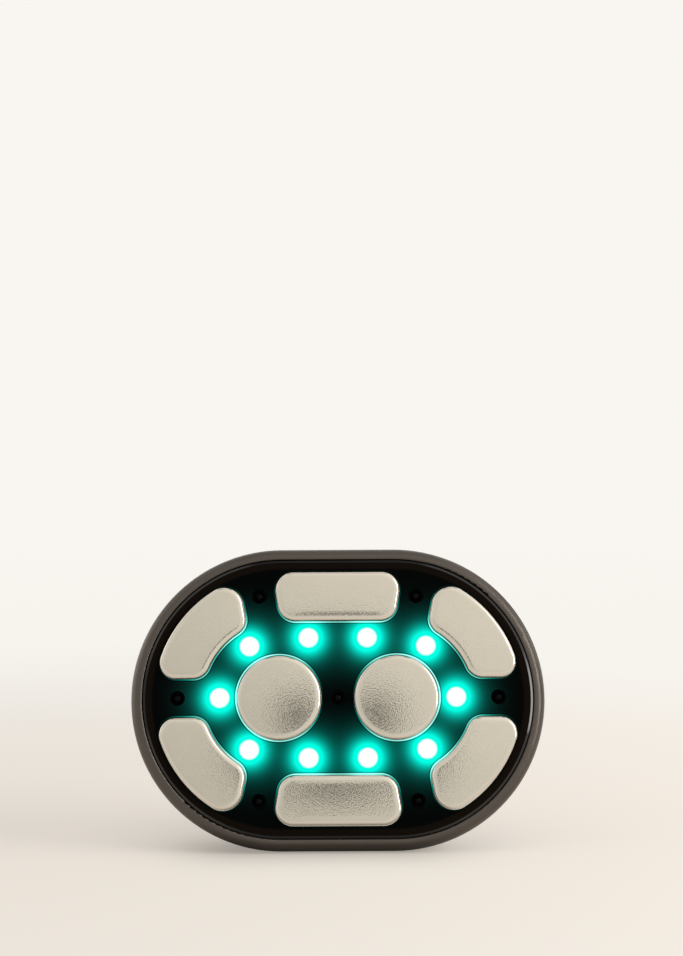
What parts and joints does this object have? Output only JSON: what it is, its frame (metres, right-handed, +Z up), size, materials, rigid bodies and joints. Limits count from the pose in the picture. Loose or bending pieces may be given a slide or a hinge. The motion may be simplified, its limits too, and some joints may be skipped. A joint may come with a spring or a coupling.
{
  "type": "handheld radio-frequency body care device",
  "caption": "Palm-held racetrack-shaped body care device: lit smoked faceplate with metal skin electrodes, drafted rear housing with a row of keys.",
  "frame": {"origin": "middle of the flat run of the lower flank, which the device stands on", "axes": "+X to the right along the long side as the lit face is seen, +Z up, and the lit face looks along -Y, leaning back by the draft of the flank"},
  "size_m": [0.12, 0.0618, 0.0859],
  "materials": {
    "housing_black": "satin black soft-touch moulding",
    "bezel_black": "polished black",
    "smoked_plate": "polished smoked plate",
    "electrode_metal": "satin bead-blasted, polished edge",
    "lamp_lens": "frosted, lit teal",
    "infrared_lens": "dark dome",
    "seal_rubber": "moulded rubber",
    "bonding_film": "black bonding film",
    "inner_black": "moulded",
    "panel_black": "polished black",
    "key_black": "satin with a sunk mark",
    "window_white": "frosted",
    "spring_copper": "copper",
    "white_resin": "moulded resin",
    "board_green": "solder mask",
    "screw_steel": "plated",
    "ferrite": "sintered",
    "cell_foil": "foil",
    "chip_black": "moulded",
    "sink_aluminium": "extruded",
    "ribbon_film": "polyimide film",
    "wire_red": "insulated wire",
    "foam_tape": "foam",
    "weight_metal": "sintered tungsten"
  },
  "bodies": {
    "body": {"rear_housing": "housing_black", "front_bezel": "bezel_black", "shell_seal": "seal_rubber", "faceplate": "smoked_plate", "faceplate_gasket": "bonding_film", "electrode_carrier": "inner_black", "electrode_round_left": "electrode_metal", "electrode_round_right": "electrode_metal", "electrode_bar_top": "electrode_metal", "electrode_bar_bottom": "electrode_metal", "electrode_corner_top_left": "electrode_metal", "electrode_corner_top_right": "electrode_metal", "electrode_corner_bottom_left": "electrode_metal", "electrode_corner_bottom_right": "electrode_metal", "electrode_contacts": "spring_copper", "temperature_sensors": "white_resin", "led_lenses": "lamp_lens", "led_chips": "white_resin", "ir_emitters": "infrared_lens", "led_board": "board_green", "housing_screws": "screw_steel", "board_screws": "screw_steel", "main_board": "board_green", "transformer_core": "ferrite", "transformer_coil": "spring_copper", "output_inductor": "spring_copper", "filter_capacitors": "cell_foil", "power_transistors": "chip_black", "heat_sink": "sink_aluminium", "controller_chip": "chip_black", "buzzer": "chip_black", "board_connectors": "white_resin", "electrode_ribbon": "ribbon_film", "key_ribbon": "ribbon_film", "wire_harness": "wire_red", "battery_cell": "cell_foil", "battery_tape": "foam_tape", "battery_tray": "inner_black", "motor_can": "screw_steel", "motor_boot": "seal_rubber", "charging_socket": "screw_steel", "charging_board": "board_green", "control_panel": "panel_black", "panel_gasket": "bonding_film", "indicator_window": "window_white", "indicator_leds": "lamp_lens", "key_board": "board_green", "key_switches": "screw_steel"},
    "minus_key": {"minus_button": "key_black", "minus_switch_stem": "chip_black"},
    "power_key": {"power_button": "key_black", "power_switch_stem": "chip_black"},
    "mode_key": {"mode_button": "key_black", "mode_switch_stem": "chip_black"},
    "plus_key": {"plus_button": "key_black", "plus_switch_stem": "chip_black"},
    "motor_rotor": {"motor_armature": "spring_copper", "eccentric_weight": "weight_metal"}
  },
  "joints": [
    {"name": "minus_press", "type": "slide", "parent": "body", "child": "minus_key", "axis": [0, -0.9781, 0.2079], "range_m": [0, 0.0005], "stiffness_N_per_m": 400, "springref_m": -0.002},
    {"name": "power_press", "type": "slide", "parent": "body", "child": "power_key", "axis": [0, -0.9781, 0.2079], "range_m": [0, 0.0005], "stiffness_N_per_m": 400, "springref_m": -0.002},
    {"name": "mode_press", "type": "slide", "parent": "body", "child": "mode_key", "axis": [0, -0.9781, 0.2079], "range_m": [0, 0.0005], "stiffness_N_per_m": 400, "springref_m": -0.002},
    {"name": "plus_press", "type": "slide", "parent": "body", "child": "plus_key", "axis": [0, -0.9781, 0.2079], "range_m": [0, 0.0005], "stiffness_N_per_m": 400, "springref_m": -0.002},
    {"name": "motor_spin", "type": "hinge", "parent": "body", "child": "motor_rotor", "pos_m": [-0.04331, 0.01594, 0.03741], "axis": [0, 0.2079, 0.9781], "continuous": true}
  ]
}
